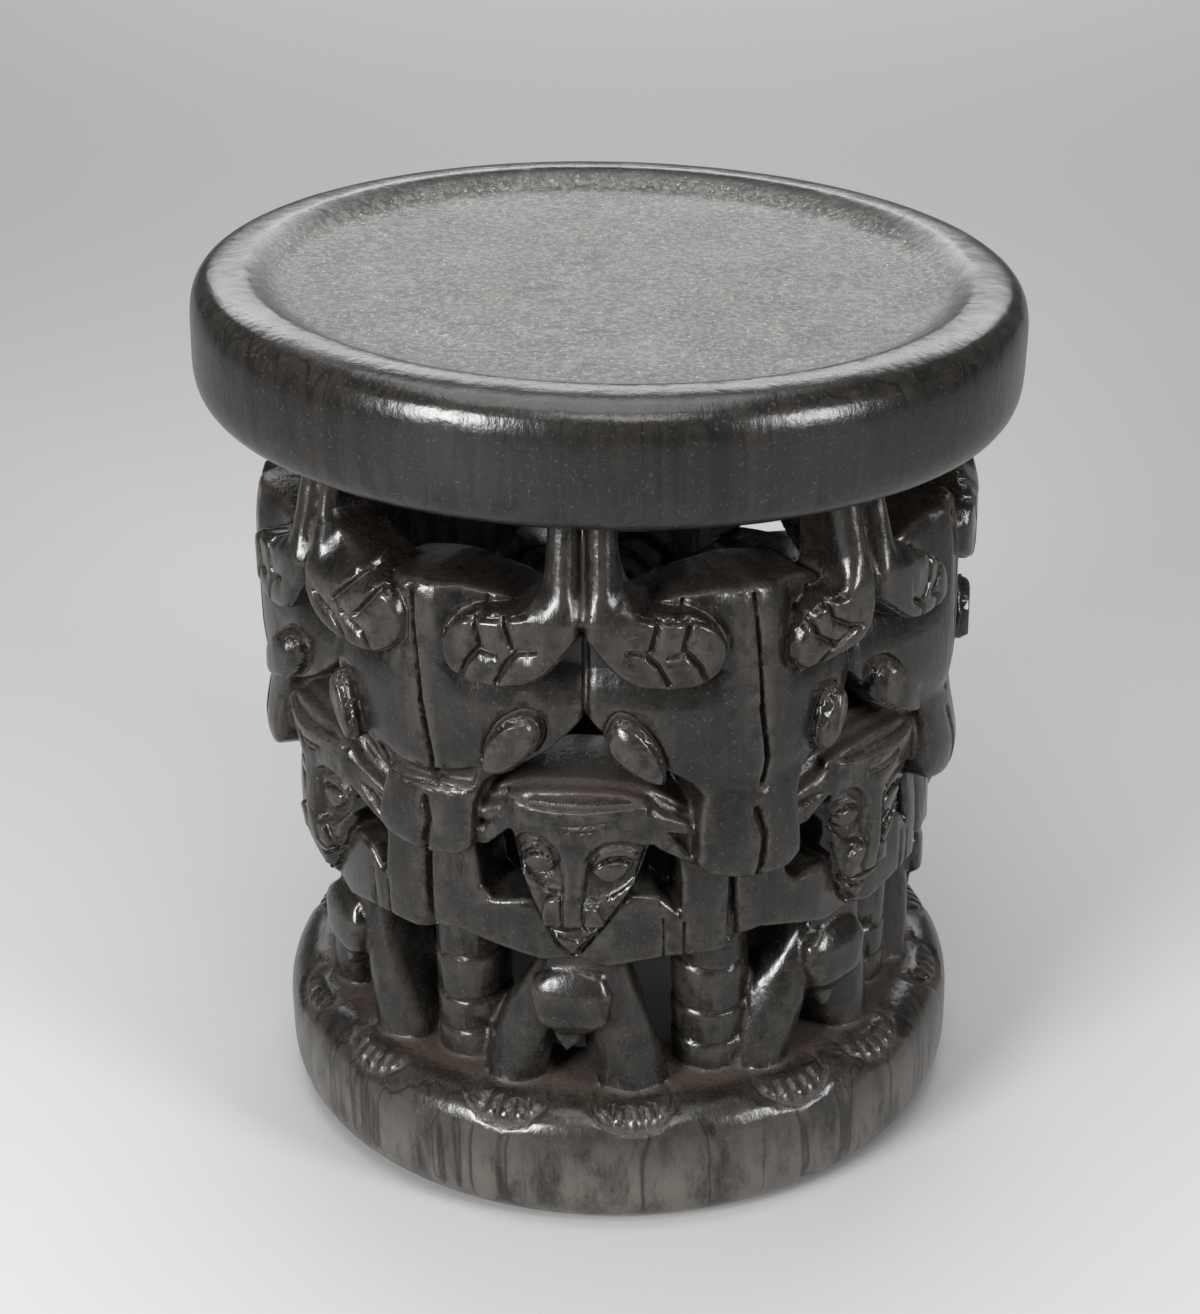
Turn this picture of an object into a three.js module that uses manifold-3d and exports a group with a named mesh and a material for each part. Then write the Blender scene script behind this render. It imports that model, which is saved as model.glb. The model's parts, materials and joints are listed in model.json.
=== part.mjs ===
// A round stool carved from one block of dark wood: a thick dished seat and a ring base,
// joined by an openwork wall of two tiers. Seven animal heads hold up the seat, and
// between them seven squatting figures with triangular faces stand on the base, their elbows
// meeting over banded columns.
//
// Millimetres and degrees, +Z up. Angles run round the wall from the front, -Y, towards +X.
import * as THREE from "three";
import { mergeVertices } from "three/addons/utils/BufferGeometryUtils.js";
import Module from "manifold-3d";

// Whole stool
const height = 420;
const figures = 7;
const pitch = 360 / figures;
const frontFace = -7; // the figure nearest the front
const frontColumn = frontFace + pitch / 2; // the column on its right
const headShift = 3; // the heads stand a little to the right of the columns below them
const frontHead = frontColumn + headShift;
const frontLimbs = frontHead - pitch / 2;
const roundSteps = 42;
const stripWidth = 36; // a bent plate is cut into strips this wide
const bury = 3; // how far one form runs into the next

// Seat
const seatRadius = 193;
const seatThickness = 59;
const seatTop = height;
const seatBottom = height - seatThickness;
const seatTilt = 1.9; // the seat dips to the right
const seatCorner = 24;
const seatCornerPower = 3.2; // 2 is a true round, more is fuller
const dishRadius = 158;
const dishDepth = 8;
const dishSlope = 12; // how far in from the rim the dish is still sinking
const rimCrest = 174;

// Ring base
const baseRadius = 169;
const baseHeight = 64;
const baseCorner = 26;
const baseCornerPower = 2.7;
const baseHole = 102;
const baseHoleTop = 112;
const baseHoleFlare = 45; // height at which the hole begins to widen

// Wall: radii of the surfaces, and the height bands of its two tiers
const hollowRadius = 122;
const headFront = 169;
const headValley = 155;
const pawFront = 173.5;
const limbTopFront = 163;
const limbBack = 136;
const limbWidth = 15;
const limbBend = 315; // above this a limb leans back to the seat
const limbRise = 40; // over which it does so
const seamDepth = 4; // of the valley between the two limbs of a pair
const slitHalf = 2;
const slitDepth = 8;
const faceTopFront = 164;
const faceChinFront = 158;
const faceBow = 5; // how far the face curves back at its sides
const faceMiddle = 3; // the face is a little wider on its right
const faceHalf = 31;
const faceBack = 132;
const noseBack = 152;
const noseProud = 3.5; // how far the nose stands out from the face
const earBack = 140;
const earProud = 1;
const armFront = 156;
const armBack = 125;
const crownHalf = 53;
const trunkHalf = 18;
const trunkFront = 147;
const trunkBack = 128;
const bellyFront = 155;
const legFront = 146;
const legBack = 118;
const legSpread = 31; // from the middle of the legs to the ridge of each shin
const legMiddle = -4;
const legRound = 5; // how far a leg falls back from its ridge
const columnRadius = 122;
const columnFirstCut = 79;
const drumHeight = 20;
const drumRadius = 18.5;
const drumNeck = 16.5;
const columnTop = 150;
const headTop = 325;
const headMeet = 276; // below this neighbouring heads part
const muzzleTop = 241;
const muzzleBottom = 191;
const muzzleHalf = 24;
const muzzleProud = 2;
const discMiddle = [50, 258]; // of the disc beside the muzzle
const discSize = [17, 10];
const discLean = 55;
const discProud = 1.5;
const discDepth = 8;
const crownTop = 229;
const crownBottom = 211;
const chinHeight = 144;

// Radii at which the outlines of the two tiers are drawn
const headRef = 171;
const faceRef = 160;

const halfPitchAtHead = (Math.PI / figures) * headRef;
const halfPitchAtFace = (Math.PI / figures) * faceRef;

const wasm = await Module();
wasm.setup();

const radians = THREE.MathUtils.degToRad;

// A closed geometry as a solid
function solid(geometry) {
  const bare = geometry.index ? geometry.toNonIndexed() : geometry.clone();
  bare.deleteAttribute("normal");
  bare.deleteAttribute("uv");
  const merged = mergeVertices(bare, 1e-3);
  return new wasm.Manifold(
    new wasm.Mesh({
      numProp: 3,
      vertProperties: new Float32Array(merged.attributes.position.array),
      triVerts: new Uint32Array(merged.index.array),
    }),
  );
}

function joined(solids) {
  return solids.reduce((whole, next) => whole.add(next));
}

// The outline with a point added wherever it crosses a strip line
function withStripPoints(points) {
  return points.flatMap((a, i) => {
    const b = points[(i + 1) % points.length];
    const low = Math.floor(Math.min(a.x, b.x) / stripWidth + 1);
    const high = Math.ceil(Math.max(a.x, b.x) / stripWidth - 1);
    const lines = Array.from({ length: Math.max(0, high - low + 1) }, (_, k) => low + k);
    if (b.x < a.x) lines.reverse();
    return [a, ...lines.map((k) => a.clone().lerp(b, (k * stripWidth - a.x) / (b.x - a.x)))];
  });
}

// Triangles that fill the outline, as indices into its points, strip by strip
function stripTriangles(points) {
  const low = Math.floor(Math.min(...points.map((p) => p.x)) / stripWidth);
  const high = Math.ceil(Math.max(...points.map((p) => p.x)) / stripWidth);
  const triangles = [];
  for (let strip = low; strip < high; strip++) {
    const within = points
      .map((p, i) => i)
      .filter((i) => {
        const place = points[i].x / stripWidth - strip;
        return place > -1e-6 && place < 1 + 1e-6;
      });
    const faces = THREE.ShapeUtils.triangulateShape(
      within.map((i) => points[i]),
      [],
    );
    for (const face of faces) triangles.push(face.map((k) => within[k]));
  }
  return triangles;
}

// A plate bent round the wall, from radius back to radius front. In its outline x runs along the
// arc at radius ref and y is the height, and no upright line crosses it more than twice. The
// front can be drawn in by a share of its size, so that the edges slope, and surface(x, y, radius)
// can shift the radius.
function plate(shape, { back, front, centre, ref, drawnIn = 0, surface, curve = 2 }) {
  const drawn = shape.extractPoints(curve).shape;
  if (THREE.ShapeUtils.area(drawn) < 0) drawn.reverse();
  const points = withStripPoints(drawn);
  const middle = new THREE.Box2().setFromPoints(points).getCenter(new THREE.Vector2());
  const layer = (radius, share) =>
    points.map((p) => {
      const { x, y } = p.clone().lerp(middle, share);
      const r = surface ? surface(x, y, radius) : radius;
      const turn = radians(centre) + x / ref;
      return [r * Math.sin(turn), -r * Math.cos(turn), y];
    });
  const count = points.length;
  const fills = stripTriangles(points);
  const edges = points.flatMap((p, i) => {
    const j = (i + 1) % count;
    return [
      [i, j, j + count],
      [i, j + count, i + count],
    ];
  });
  const geometry = new THREE.BufferGeometry()
    .setAttribute(
      "position",
      new THREE.Float32BufferAttribute([...layer(back, 0), ...layer(front, drawnIn)].flat(), 3),
    )
    .setIndex(
      [
        ...fills.map(([a, b, c]) => [a, c, b]),
        ...fills.map((face) => face.map((i) => i + count)),
        ...edges,
      ].flat(),
    );
  return solid(geometry);
}

function outline(points) {
  return new THREE.Shape(points.map(([x, y]) => new THREE.Vector2(x, y)));
}

// An outline from its right half, top to bottom, mirrored to the left
function mirroredOutline(half) {
  const left = half.filter(([x]) => x > 0).map(([x, y]) => [-x, y]);
  return outline([...left, ...half.slice().reverse()]);
}

// An outline drawn clockwise for the right side, or its mirror image for the left
function sidedOutline(side, points) {
  const turned = points.map(([x, y]) => [x * side, y]);
  return outline(side > 0 ? turned.reverse() : turned);
}

// A profile of [radius, height] points, spun about the upright axis
function spun(profile, steps) {
  const points = profile.map(([r, z]) => new THREE.Vector2(r, z));
  const geometry = new THREE.LatheGeometry(points, steps);
  geometry.rotateX(Math.PI / 2);
  return geometry;
}

// Points of a rounded corner, a superellipse quarter from angle a to angle b
function cornerPoints(centreR, centreZ, sizeR, sizeZ, power, a, b, count) {
  return Array.from({ length: count + 1 }, (_, i) => {
    const t = radians(a + ((b - a) * i) / count);
    const c = Math.cos(t);
    const s = Math.sin(t);
    return [
      centreR + sizeR * Math.sign(c) * Math.abs(c) ** (2 / power),
      centreZ + sizeZ * Math.sign(s) * Math.abs(s) ** (2 / power),
    ];
  });
}

function seat() {
  const middle = (seatTop + seatBottom) / 2;
  const half = seatThickness / 2;
  const centreR = seatRadius - seatCorner;
  const geometry = spun(
    [
      [0, seatBottom],
      ...cornerPoints(centreR, middle, seatCorner, half, seatCornerPower, -90, 90, 6),
      [dishRadius, seatTop - dishDepth + 1],
      [dishRadius - dishSlope, seatTop - dishDepth],
      [0, seatTop - dishDepth],
    ].map(([r, z]) => (z === seatTop ? [rimCrest, z] : [r, z])),
    roundSteps,
  );
  geometry.translate(0, 0, -middle);
  geometry.rotateY(radians(seatTilt));
  geometry.translate(0, 0, middle);
  return solid(geometry);
}

function base() {
  const middle = baseHeight / 2;
  const centreR = baseRadius - baseCorner;
  const ring = [
    [baseHole, 0],
    ...cornerPoints(centreR, middle, baseCorner, middle, baseCornerPower, -90, 90, 6),
    [baseHoleTop, baseHeight],
    [baseHole, baseHoleFlare],
  ];
  return solid(spun([...ring, ring[0]], roundSteps));
}

// The head's face sinks towards its neighbours, so that each pair meets in a valley
function headSurface(x, y, radius) {
  const flat = stripWidth;
  const side = THREE.MathUtils.clamp((Math.abs(x) - flat) / (halfPitchAtHead - flat), 0, 1);
  const share = (radius - hollowRadius) / (headFront - hollowRadius);
  return radius - side * share * (headFront - headValley);
}

function headBody(centre) {
  const shape = mirroredOutline([
    [0, headTop],
    [halfPitchAtHead + bury, headTop - 12],
    [halfPitchAtHead + bury, headMeet],
    [66, 259],
    [42, 242],
    [muzzleHalf - 1, muzzleTop - 13],
  ]);
  return plate(shape, {
    back: hollowRadius,
    front: headFront,
    centre,
    ref: headRef,
    surface: headSurface,
  });
}

function muzzle(centre) {
  const shape = mirroredOutline([
    [muzzleHalf + 1, muzzleTop - 7],
    [muzzleHalf + 1, muzzleBottom + 5],
    [muzzleHalf - 4, muzzleBottom],
  ]);
  return plate(shape, {
    back: hollowRadius + bury,
    front: headFront + muzzleProud,
    centre,
    ref: headRef,
  });
}

// The long slit down the middle of the head
function headSlit(centre) {
  const top = headTop - 12;
  const bottom = muzzleTop - 4;
  const shape = mirroredOutline([
    [0, top],
    [slitHalf, (top + bottom) / 2],
    [0, bottom],
  ]);
  return plate(shape, {
    back: headFront - slitDepth,
    front: headFront + slitDepth,
    centre,
    ref: headRef,
  });
}

// Two limbs of neighbouring heads come down from the seat back to back. Each curls away from
// the other and ends in a round paw on its own head.
function limbPair(centre) {
  const shape = mirroredOutline([
    [limbWidth, seatBottom + 10],
    [limbWidth, 338],
    [limbWidth + 3, 326],
    [27, 317],
    [48, 316],
    [60, 309],
    [63, 297],
    [52, 285],
    [30, 286],
    [16, 295],
    [0, 310],
  ]);
  return plate(shape, {
    back: limbBack,
    front: pawFront,
    centre,
    ref: headRef,
    surface: (x, y, radius) => {
      const rise = THREE.MathUtils.clamp((y - limbBend) / limbRise, 0, 1);
      const seam = THREE.MathUtils.clamp(1 - Math.abs(x) / limbWidth, 0, 1);
      return radius > limbBack
        ? radius - rise * (pawFront - limbTopFront) - seam * seamDepth
        : radius;
    },
  });
}

function eyeDisc(centre, side) {
  const shape = new THREE.Shape();
  const [across, high] = discMiddle;
  const lean = radians(discLean) * side;
  shape.absellipse(across * side, high, ...discSize, 0, 2 * Math.PI, false, lean);
  return plate(shape, {
    back: headValley - discDepth,
    front: headFront + discProud,
    centre,
    ref: headRef,
    drawnIn: 0.1,
    curve: 3,
  });
}

// Flat on the forehead, the face falls away to its sides and to the chin
function faceSurface(x, y, radius) {
  const down = THREE.MathUtils.clamp((crownTop - y) / (crownTop - chinHeight), 0, 1);
  const lean = (faceTopFront - faceChinFront) * down;
  const bow = ((x - faceMiddle) / faceHalf) ** 2 * faceBow;
  return radius > armFront ? radius - lean - bow : radius;
}

function face(centre) {
  const shape = outline([
    [-26.5, crownTop - 4],
    [-27, 202],
    [-21, 175],
    [-10, 150.5],
    [-2, chinHeight],
    [6, 153],
    [21.5, 174.5],
    [33, 204],
    [32.5, crownTop - 5],
  ]);
  return plate(shape, {
    back: faceBack,
    front: faceTopFront,
    centre,
    ref: faceRef,
    surface: faceSurface,
  });
}

function nose(centre) {
  const shape = mirroredOutline([
    [3.5, 207],
    [5, 174],
    [13, 163],
  ]);
  return plate(shape, {
    back: noseBack,
    front: faceTopFront + noseProud,
    centre,
    ref: faceRef,
    surface: faceSurface,
  });
}

function ear(centre, side) {
  const shape = sidedOutline(side, [
    [27, 224],
    [41, 221],
    [53, 214],
    [53, 198],
    [42, 199],
    [28, 208],
  ]);
  return plate(shape, {
    back: earBack,
    front: faceRef + earProud,
    centre,
    ref: faceRef,
    drawnIn: 0.08,
  });
}

// The rough shelf behind the figure's brow, and the trunk that carries it
function crownAndTrunk(centre) {
  const shape = mirroredOutline([
    [24, crownTop + 1],
    [crownHalf, crownTop - 14],
    [crownHalf, crownBottom],
    [trunkHalf, crownBottom],
    [trunkHalf, 110],
    [0, 98],
  ]);
  return plate(shape, { back: trunkBack, front: trunkFront, centre, ref: faceRef });
}

function arms(centre) {
  const elbow = halfPitchAtFace + bury / 2;
  const shape = mirroredOutline([
    [13, 166],
    [26, 172.5],
    [47, 168],
    [48, muzzleBottom + bury],
    [elbow, muzzleBottom + bury],
    [elbow, 148],
    [40, 144],
    [14, 137],
  ]);
  return plate(shape, {
    back: armBack,
    front: armFront,
    centre,
    ref: faceRef,
  });
}

function belly(centre) {
  const shape = outline([
    [-24.5, 124],
    [-22, 104],
    [-10, 97],
    [-6, 87],
    [1, 98],
    [13.5, 105],
    [15.5, 119],
    [10, 129],
    [-13, 131],
  ]);
  return plate(shape, {
    back: trunkFront - 2 * bury,
    front: bellyFront,
    centre,
    ref: faceRef,
    drawnIn: 0.18,
  });
}

// Two thick legs slant down and outwards from behind the belly
function legs(centre) {
  const shape = outline([
    [-49, baseHeight - bury],
    [-24, baseHeight - bury],
    [-18, 90],
    [-9, 99],
    [-1.5, 90],
    [5, baseHeight - bury],
    [47, baseHeight - bury],
    [38, 92],
    [29, 114],
    [20, 129],
    [-20, 131],
    [-31, 116],
    [-43, 100],
  ]);
  return plate(shape, {
    back: legBack,
    front: legFront,
    centre,
    ref: faceRef,
    surface: (x, y, radius) =>
      radius > legBack
        ? radius - legRound * Math.abs(1 - Math.abs(x - legMiddle) / legSpread)
        : radius,
  });
}

// A column of stacked drums, each flaring down to an edge that overhangs the drum below it
function column(angle) {
  const cuts = 3;
  const profile = [[0, baseHeight - bury], [drumNeck, baseHeight - bury]];
  for (let i = 0; i < cuts; i++) {
    const cut = columnFirstCut + i * drumHeight;
    profile.push([drumNeck, cut]);
    profile.push([drumRadius, cut + 1]);
  }
  profile.push([drumRadius, columnTop], [0, columnTop]);
  const geometry = spun(profile, 8);
  const turn = radians(angle);
  geometry.translate(columnRadius * Math.sin(turn), -columnRadius * Math.cos(turn), 0);
  return solid(geometry);
}

const sides = [-1, 1];

function animalHead(angle) {
  const whole = joined([
    headBody(angle),
    muzzle(angle),
    ...sides.map((side) => eyeDisc(angle, side)),
  ]);
  return whole.subtract(headSlit(angle));
}

function figure(angle) {
  return joined([
    face(angle),
    nose(angle),
    ...sides.map((side) => ear(angle, side)),
    crownAndTrunk(angle),
    arms(angle),
    belly(angle),
    legs(angle),
  ]);
}

function stool() {
  const turns = Array.from({ length: figures }, (_, i) => i * pitch);
  return joined([
    seat(),
    base(),
    ...turns.map((turn) => animalHead(frontHead + turn)),
    ...turns.map((turn) => limbPair(frontLimbs + turn)),
    ...turns.map((turn) => figure(frontFace + turn)),
    ...turns.map((turn) => column(frontColumn + turn)),
  ]);
}

function meshOf(whole, name, material) {
  const { numProp, numVert, vertProperties, triVerts } = whole.getMesh();
  const places = new Float32Array(numVert * 3);
  for (let i = 0; i < numVert; i++)
    places.set(vertProperties.subarray(i * numProp, i * numProp + 3), i * 3);
  const geometry = new THREE.BufferGeometry()
    .setAttribute("position", new THREE.BufferAttribute(places, 3))
    .setIndex(new THREE.BufferAttribute(triVerts, 1));
  const mesh = new THREE.Mesh(geometry, material);
  mesh.name = name;
  return mesh;
}

const darkWood = new THREE.MeshStandardMaterial({
  color: 0x2a241f,
  roughness: 0.45,
  metalness: 0,
  flatShading: true,
});

const stoolGroup = new THREE.Group();
stoolGroup.add(meshOf(stool(), "stool", darkWood));

export default stoolGroup;
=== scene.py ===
import bpy
import json
import math
import numpy as np
from mathutils import Matrix, Vector

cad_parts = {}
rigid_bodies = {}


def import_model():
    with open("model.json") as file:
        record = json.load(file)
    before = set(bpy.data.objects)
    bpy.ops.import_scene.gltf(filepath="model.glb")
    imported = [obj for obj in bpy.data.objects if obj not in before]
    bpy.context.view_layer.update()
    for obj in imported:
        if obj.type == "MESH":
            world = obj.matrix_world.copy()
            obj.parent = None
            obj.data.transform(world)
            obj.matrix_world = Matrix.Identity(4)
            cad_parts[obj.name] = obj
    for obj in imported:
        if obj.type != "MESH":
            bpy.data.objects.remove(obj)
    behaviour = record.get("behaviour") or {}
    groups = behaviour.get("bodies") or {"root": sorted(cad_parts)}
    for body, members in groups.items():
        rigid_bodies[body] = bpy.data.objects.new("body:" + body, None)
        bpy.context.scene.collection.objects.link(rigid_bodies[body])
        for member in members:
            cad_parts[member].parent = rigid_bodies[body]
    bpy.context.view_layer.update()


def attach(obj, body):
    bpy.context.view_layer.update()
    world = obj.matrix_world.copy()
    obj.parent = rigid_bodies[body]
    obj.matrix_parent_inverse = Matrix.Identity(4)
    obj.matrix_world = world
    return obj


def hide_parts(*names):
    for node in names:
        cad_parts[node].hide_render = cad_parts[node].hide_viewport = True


# A carved stool of one block: seat, ring base and an openwork wall of heads and figures.
# Sizes are in millimetres. A flat form is drawn with x along the wall, y up and z as the
# distance from the middle of the stool, and is then bent round.

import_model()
mm = 0.001
carvings = 7            # of each kind, round the wall
headRadius = 171        # where the x of a head or limb is measured along the wall
faceRadius = 160
columnRadius = 122


def selectNothing():
    if bpy.context.mode != "OBJECT":
        bpy.ops.object.mode_set(mode="OBJECT")
    bpy.ops.object.select_all(action="DESELECT")


def selectOnly(pieces):
    selectNothing()
    for piece in pieces:
        piece.select_set(True)
    bpy.context.view_layer.objects.active = pieces[0]


def joined(pieces, name):
    selectOnly(pieces)
    if len(pieces) > 1:
        bpy.ops.object.join()
    piece = bpy.context.view_layer.objects.active
    piece.name = name
    piece.data.name = name
    return piece


def applied(piece, kind, **settings):
    selectOnly([piece])
    modifier = piece.modifiers.new(kind.lower(), kind)
    for key, value in settings.items():
        setattr(modifier, key, value)
    bpy.ops.object.modifier_apply(modifier=modifier.name)


def points(piece):
    places = np.empty(len(piece.data.vertices) * 3)
    piece.data.vertices.foreach_get("co", places)
    return places.reshape(-1, 3)


def setPoints(piece, places):
    piece.data.vertices.foreach_set("co", places.ravel())
    piece.data.update()


def normals(piece):
    facings = np.empty(len(piece.data.vertices) * 3, dtype=np.float32)
    piece.data.vertex_normals.foreach_get("vector", facings)
    return facings.reshape(-1, 3)


# the camera, at the photograph's own height and distance
camera = {
    "place": (0.0, -1153.6, 771.9),
    "down": 24.86,      # degrees below level
    "roll": -0.82,
    "lens": 71.26,
    "shift": (-0.0103, -0.0266),
}


def makeCamera():
    data = bpy.data.cameras.new("camera")
    data.lens = camera["lens"]
    data.sensor_width = 36
    data.shift_x, data.shift_y = camera["shift"]
    data.clip_start = 0.05
    data.clip_end = 20
    eye = bpy.data.objects.new("camera", data)
    bpy.context.scene.collection.objects.link(eye)
    turn = Matrix.Rotation(math.radians(90 - camera["down"]), 4, "X")
    turn = turn @ Matrix.Rotation(math.radians(camera["roll"]), 4, "Z")
    eye.matrix_world = Matrix.Translation(Vector(camera["place"]) * mm) @ turn
    bpy.context.scene.camera = eye


makeCamera()
print("camera placed")


# where each carving stands round the wall, in degrees from the front towards the right
heads = {
    "turn": [21.7, 69, 115, 164, 219, 277.5, -30.3],
    "muzzle": [1.0, 0.95, 0.85, 1.0, 0.9, 0.85, 0.8],      # length of the muzzle
    "lip": [0, 0, 1, 0, 1, 0, 1],       # 1 where the muzzle has a lip
}
limbs = {
    "turn": [-4.6, 42, 91, 138, 190, 248, -52.6],
    "left": ["level", "drooping", "heavy", "level", "level", "long", "level"],
    "right": ["level", "long", "level", "heavy", "level", "drooping", "heavy"],
}
people = {
    "turn": [-6.7, 46.5, 91, 137, 187, 244, -61],
    "lean": [0.0, 0.07, -0.02, 0.03, 0.0, -0.03, -0.04],
    "lift": [0, 1, -1, 2, 0, 1, 2],     # how much higher its arms and face sit
}
posts = [20.4, 69, 114, 162, 215.5, 271.5, -33.9]


# flat outlines
def mirrored(half):
    left = [(-x, y) for x, y in half if x > 0]
    return left + half[::-1]


def rounded(outline, times=2):
    # the outline with its corners cut off, again and again
    for again in range(times):
        corners = []
        for (a, b), (c, d) in zip(outline, outline[1:] + outline[:1]):
            corners.append((0.75 * a + 0.25 * c, 0.75 * b + 0.25 * d))
            corners.append((0.25 * a + 0.75 * c, 0.25 * b + 0.75 * d))
        outline = corners
    return outline


def sided(outline, side):
    return [(x * side, y) for x, y in outline]


def slab(outline, back, front, rounding=2.0, steps=2, grid=9.0, shape=None):
    # an outline pushed out from radius back to radius front, its front rim rounded off
    selectNothing()
    bpy.ops.mesh.primitive_circle_add(vertices=len(outline), radius=1, fill_type="NGON")
    piece = bpy.context.object
    for corner, (x, y) in zip(piece.data.vertices, outline):
        corner.co = (x, y, back)
    bpy.ops.object.mode_set(mode="EDIT")
    bpy.ops.mesh.select_all(action="SELECT")
    bpy.ops.mesh.extrude_region_move(TRANSFORM_OT_translate={"value": (0, 0, front - back)})
    if rounding:
        bpy.ops.mesh.bevel(offset=rounding, segments=steps, affect="EDGES", clamp_overlap=True)
    for axis in (0, 1):
        low = min(p[axis] for p in outline)
        high = max(p[axis] for p in outline)
        line = math.floor(low / grid) * grid + grid
        while line < high:
            at = [0, 0, 0]
            facing = [0, 0, 0]
            at[axis] = line
            facing[axis] = 1
            bpy.ops.mesh.select_all(action="SELECT")
            bpy.ops.mesh.bisect(plane_co=at, plane_no=facing)
            line += grid
    bpy.ops.object.mode_set(mode="OBJECT")
    if shape:
        places = points(piece)
        places[:, 2] = shape(places[:, 0], places[:, 1], places[:, 2])
        setPoints(piece, places)
    return piece


# the animal heads of the upper tier
head = {
    "back": 122,
    "front": 169.5,
    "keep": 30,         # within this of the middle nothing is stretched
    "half": 77,         # from the middle to the seam, as drawn
    "muzzleFrom": 232,  # below this height a head takes its own length
    "outline": [(0, 325), (18, 323), (36, 320), (58, 313), (79, 306), (79, 270), (74, 262),
                (67, 255), (58, 248), (49, 243), (41.5, 239.5), (36, 237), (29, 232), (22, 223)],
    "muzzleFront": 171,
    "muzzle": [(-23, 238), (-24, 226), (-26.5, 214), (-28, 194), (-23, 189.5), (-12, 186.5), (0, 184.5),
               (16, 185.5), (23, 192), (23, 218), (27, 230), (30, 238)],
    "disc": {
        1: [(57, 262), (53, 268), (46, 268), (37, 262.5), (31.5, 253), (29.5, 244), (32, 239.5),
            (40, 240), (49, 246), (56, 254)],
        -1: [(-68, 258), (-64, 267), (-58, 267.5), (-50, 261), (-44, 250), (-41.5, 240), (-44.5, 236),
             (-53, 239), (-62, 245.5), (-67.5, 251)],
    },
    "discBack": 146,
    "discFront": 170.8,
}


def headShape(x, y, r):
    # a ridge near the middle with facets that fall away to the valleys
    side = np.abs(x + 3) / 80
    fall = side ** 1.15 * 13
    over = np.clip((y - 298) / 28, 0, 1) ** 2 * 4
    paws = np.clip((y - 276) / 8, 0, 1) * np.clip((np.abs(x) - 10) / 10, 0, 1) * 5.5
    under = np.clip((247 - y) / 20, 0, 1) * 3.0
    share = np.clip((r - 140) / 29, 0, 1)
    return r - (fall + under + over + paws) * share


def muzzleShape(x, y, r):
    share = np.clip((r - 150) / 20, 0, 1)
    cheek = ((x + 2) / 26) ** 2 * 3
    neck = np.clip((y - 200) / 25, 0, 1) * 4.5
    lean = np.clip((196 - y) / 12, 0, 1) ** 2 * 2
    return r - (cheek + neck + lean) * share


def discShape(x, y, r):
    share = np.clip((r - 150) / 20, 0, 1)
    return r - np.clip((np.abs(x) - 44) / 20, 0, 1) * 4 * share


def makeHead():
    forms = [
        slab(mirrored(head["outline"]), head["back"], head["front"], 3, 3, shape=headShape),
        slab(head["muzzle"], head["back"] + 3, head["muzzleFront"], 2.2, 3, 6.0, muzzleShape),
    ]
    for side in (-1, 1):
        disc = rounded(head["disc"][side])
        forms.append(slab(disc, head["discBack"], head["discFront"], 1.2, 2, 9.0, discShape))
    return joined(forms, "head")


# two limbs back to back, each with a paw lying on its own head
limbKinds = {
    "level": {
        "outline": [(16.5, 372), (16, 352), (16.5, 338), (18.5, 327), (24, 318.5), (36, 316),
                    (50, 315.5), (58, 311), (63, 303), (63.5, 297), (60, 289), (51, 283.5), (38, 282.5),
                    (24, 284.5), (14.5, 291), (5, 303), (0, 310)],
        "cuts": [[(33, 318), (31, 310), (29, 303)],
                 [(19.5, 302.5), (27, 301.5), (31.5, 296.5), (37, 286)],
                 [(46, 318), (45, 311), (43, 303)],
                 [(37, 299.5), (44.5, 301), (50, 294), (53, 287)]],
    },
    "heavy": {
        "outline": [(16, 372), (13, 352), (13, 340), (23.5, 331.5), (35.5, 327), (48, 322), (57, 317.5),
                    (62, 310), (61.5, 298), (55, 291.5), (45.5, 286.5), (32.5, 286.5), (15, 290.5),
                    (6, 297), (0, 307)],
        "cuts": [[(42.5, 325), (33, 316), (24, 308.5)], [(10, 307), (23, 300), (27, 295), (30, 288)],
                 [(52, 320), (44, 311), (37, 304)], [(29, 303), (40.5, 297), (43, 292), (46, 286)]],
    },
    "drooping": {
        "outline": [(16, 372), (17, 350), (17, 340), (16, 322), (20, 313), (29, 314), (38, 309),
                    (45.5, 299), (45.5, 287), (38.5, 281), (24.5, 284), (11, 287), (3.5, 294), (0, 305)],
        "cuts": [[(30.5, 315), (26.5, 304), (18, 299), (11, 297)], [(39, 309), (34.5, 298), (25, 292)],
                 [(16, 297), (25, 292), (31, 287), (37, 281)]],
    },
    "long": {
        "outline": [(15, 372), (12, 350), (16, 335), (22.5, 323), (37.5, 315), (50, 308), (57, 300),
                    (60, 289), (54, 284), (36, 284), (24.5, 286.5), (12.5, 295.5), (0, 305)],
        "cuts": [[(37, 316), (36, 303), (29, 295)], [(45, 312), (45, 303), (39, 296)],
                 [(24, 298), (32, 292), (33, 284)], [(39, 297), (45, 292), (45, 284)]],
    },
}
limb = {"back": 137, "front": 173.4}


def limbShape(x, y, r):
    rise = np.clip((y - 316) / 40, 0, 1)
    seam = np.clip(1 - np.abs(x) / 3.0, 0, 1) * 4
    tube = np.clip((y - 318) / 10, 0, 1) * np.clip((np.abs(np.abs(x) - 8.5) - 1) / 7, 0, 1) ** 1.6 * 6
    tip = np.clip((np.abs(x) - 50) / 14, 0, 1) ** 2 * 2.5
    low = np.clip((290 - y) / 8, 0, 1) * 1.5
    share = np.clip((r - 145) / 25, 0, 1)
    return r - (rise * 10 + seam + tube + tip + low) * share


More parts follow.
